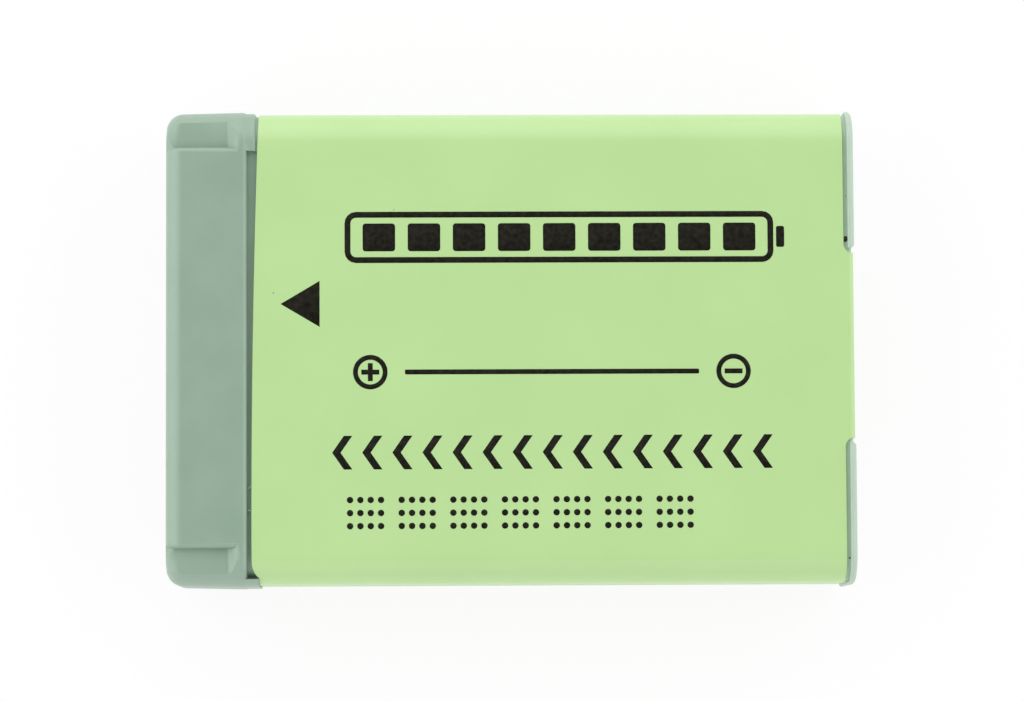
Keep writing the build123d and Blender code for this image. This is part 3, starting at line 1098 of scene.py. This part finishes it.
@dataclass
class ProtectionCircuit:
    """The circuit inside the cap: board, breaker, leads, pads and the parts on the board."""

    strips: tuple[str, ...] = (
        "breaker_inlet_arm",
        "breaker_outlet_arm",
        "positive_plate",
        "negative_weld_pad",
        "positive_weld_pad",
        "negative_lead",
        "positive_lead",
    )
    packages: tuple[str, ...] = ("breaker_body", "protection_chip", "switch_chip")
    ceramics: tuple[str, ...] = ("thermistor", "chip_capacitors", "chip_resistors")
    shading: CreasedNode = field(default_factory=CreasedNode)

    def dress(self) -> None:
        """Gives each node of the circuit its finish."""
        self.shading.dress("circuit_board", BOARD)
        for name in self.strips:
            self.shading.dress(name, NICKEL)
        for name in self.packages:
            self.shading.dress(name, BLACK_MOULDING)
        for name in self.ceramics:
            self.shading.dress(name, CHIP_BODY)


@dataclass
class Softbox:
    """One large soft lamp that faces the battery, in metres and watts."""

    name: str
    place: tuple[float, float, float]
    width: float
    height: float
    power: float

    def build(self) -> bpy.types.Object:
        """Places the lamp and turns it to the battery.

        Returns:
            The lamp.
        """
        lamp = bpy.data.lights.new(self.name, "AREA")
        lamp.shape = "RECTANGLE"
        lamp.size = self.width
        lamp.size_y = self.height
        lamp.energy = self.power
        holder = bpy.data.objects.new(self.name, lamp)
        holder.location = self.place
        holder.visible_camera = False
        toward = -holder.location
        holder.rotation_euler = toward.to_track_quat("-Z", "Y").to_euler()
        bpy.context.scene.collection.objects.link(holder)
        return holder


@dataclass
class Studio:
    """White floor, a light tent with four softboxes, and the camera, in metres and degrees.

    The camera was found by matching the battery's outline and edges to the photograph.
    """

    eye: tuple[float, float, float] = (-0.00656, -0.020517, 0.264607)
    turn: tuple[float, float, float] = (4.534, -1.459, -0.307)
    focal_pixels: float = 4177.7
    sensor: float = 36.0
    near_clip: float = 0.005
    tent: float = 0.48
    opening: float = 0.05
    opening_from: float = 0.92
    opening_to: float = 0.99
    floor_half: float = 1.5
    floor_drop: float = 0.00002
    floor_steps: int = 5
    floor_shade: Colour = (0.94, 0.94, 0.94, 1.0)
    floor_roughness: float = 0.9
    floor_glow: float = 0.87
    lamps: tuple[Softbox, ...] = (
        Softbox("lamp_back", place=(0.0, 0.55, 0.32), width=1.2, height=0.7, power=2.7),
        Softbox("lamp_front", place=(0.0, -0.55, 0.3), width=1.0, height=0.6, power=0.9),
        Softbox("lamp_left", place=(-0.55, 0.0, 0.3), width=1.2, height=0.7, power=3.3),
        Softbox("lamp_right", place=(0.55, 0.0, 0.28), width=1.2, height=0.7, power=2.7),
    )

    def camera(self) -> bpy.types.Object:
        """Places the camera; its lens is the focal length in pixels over the photo's width.

        Returns:
            The camera.
        """
        lens = bpy.data.cameras.new("camera")
        lens.sensor_fit = "HORIZONTAL"
        lens.sensor_width = self.sensor
        lens.lens = self.focal_pixels / PHOTO_WIDTH * self.sensor
        lens.clip_start = self.near_clip
        holder = bpy.data.objects.new("camera", lens)
        holder.location = self.eye
        holder.rotation_euler = [math.radians(angle) for angle in self.turn]
        bpy.context.scene.collection.objects.link(holder)
        bpy.context.scene.camera = holder
        return holder

    def white_for_camera(self, tree: bpy.types.NodeTree) -> bpy.types.NodeSocket:
        """Adds a mask that is 1 for what the camera sees, straight or through gloss or glass.

        Args:
            tree: Node tree that gets the mask.

        Returns:
            The mask.
        """
        path = tree.nodes.new("ShaderNodeLightPath")
        either = tree.nodes.new("ShaderNodeMath")
        either.operation = "MAXIMUM"
        tree.links.new(path.outputs["Is Camera Ray"], either.inputs[0])
        tree.links.new(path.outputs["Is Glossy Ray"], either.inputs[1])
        all_seen = tree.nodes.new("ShaderNodeMath")
        all_seen.operation = "MAXIMUM"
        tree.links.new(either.outputs["Value"], all_seen.inputs[0])
        tree.links.new(path.outputs["Is Transmission Ray"], all_seen.inputs[1])
        return all_seen.outputs["Value"]

    def floor_finish(self) -> bpy.types.Material:
        """White floor: mostly plain white to the camera, the rest shaded white for the shadow.

        Returns:
            The material.
        """
        made = bpy.data.materials.new("floor_white")
        made.use_nodes = True
        tree = made.node_tree
        surface = tree.nodes["Principled BSDF"]
        surface.inputs["Base Color"].default_value = self.floor_shade
        surface.inputs["Roughness"].default_value = self.floor_roughness
        surface.inputs["Specular IOR Level"].default_value = 0.0
        glow = add_node(tree, "ShaderNodeEmission", Color=WHITE, Strength=1.0)
        share = add_node(tree, "ShaderNodeMapRange", To_Min=0.0, To_Max=self.floor_glow)
        tree.links.new(self.white_for_camera(tree), share.inputs["Value"])
        mix = tree.nodes.new("ShaderNodeMixShader")
        tree.links.new(share.outputs["Result"], mix.inputs["Fac"])
        tree.links.new(surface.outputs["BSDF"], mix.inputs[1])
        tree.links.new(glow.outputs["Emission"], mix.inputs[2])
        tree.links.new(mix.outputs["Shader"], tree.nodes["Material Output"].inputs["Surface"])
        return made

    def floor(self) -> bpy.types.Object:
        """Lays the floor: a level grid from minus to plus its half size.

        Returns:
            The floor.
        """
        steps = np.linspace(-self.floor_half, self.floor_half, self.floor_steps) / MM
        along, across = np.meshgrid(steps, steps, indexing="ij")
        level = np.full_like(along, -self.floor_drop / MM)
        points = np.stack((along, across, level), axis=-1).reshape(-1, 3)
        piece = make_piece("floor", points, quads(np.arange(along.size).reshape(along.shape)))
        piece.data.materials.append(self.floor_finish())
        return piece

    def world(self) -> None:
        """Fills from all round like a light tent, with a dark opening overhead for the camera."""
        sky = bpy.data.worlds.new("studio_white")
        sky.use_nodes = True
        tree = sky.node_tree
        light = tree.nodes["Background"]
        light.inputs["Color"].default_value = WHITE
        direction = tree.nodes.new("ShaderNodeTexCoord")
        parts = tree.nodes.new("ShaderNodeSeparateXYZ")
        tree.links.new(direction.outputs["Generated"], parts.inputs["Vector"])
        strength = add_node(tree, "ShaderNodeMapRange", To_Min=self.tent, To_Max=self.opening)
        strength.inputs["From Min"].default_value = self.opening_from
        strength.inputs["From Max"].default_value = self.opening_to
        tree.links.new(parts.outputs["Z"], strength.inputs["Value"])
        tree.links.new(strength.outputs["Result"], light.inputs["Strength"])
        bpy.context.scene.world = sky

    def build(self) -> None:
        """Builds world, floor, lamps and camera, and sets the plain view transform."""
        self.world()
        self.floor()
        for lamp in self.lamps:
            lamp.build()
        self.camera()
        bpy.context.scene.view_settings.view_transform = "Standard"
        log.info("built studio with %d lamps", len(self.lamps))


def main() -> None:
    """Builds the studio and each sub-assembly in order."""
    logging.basicConfig(level=logging.INFO, format="%(name)s: %(message)s")
    Studio().build()
    SealedCell().dress()
    ProtectionCircuit().dress()
    ContactCap().dress()
    TailFrame().dress()
    sleeve = PrintedSleeve()
    sleeve.dress(sleeve.build())
    marks = FacePrint(sleeve)
    marks.dress(marks.build())
    LooseBits().build()


if __name__ == "__main__":
    main()
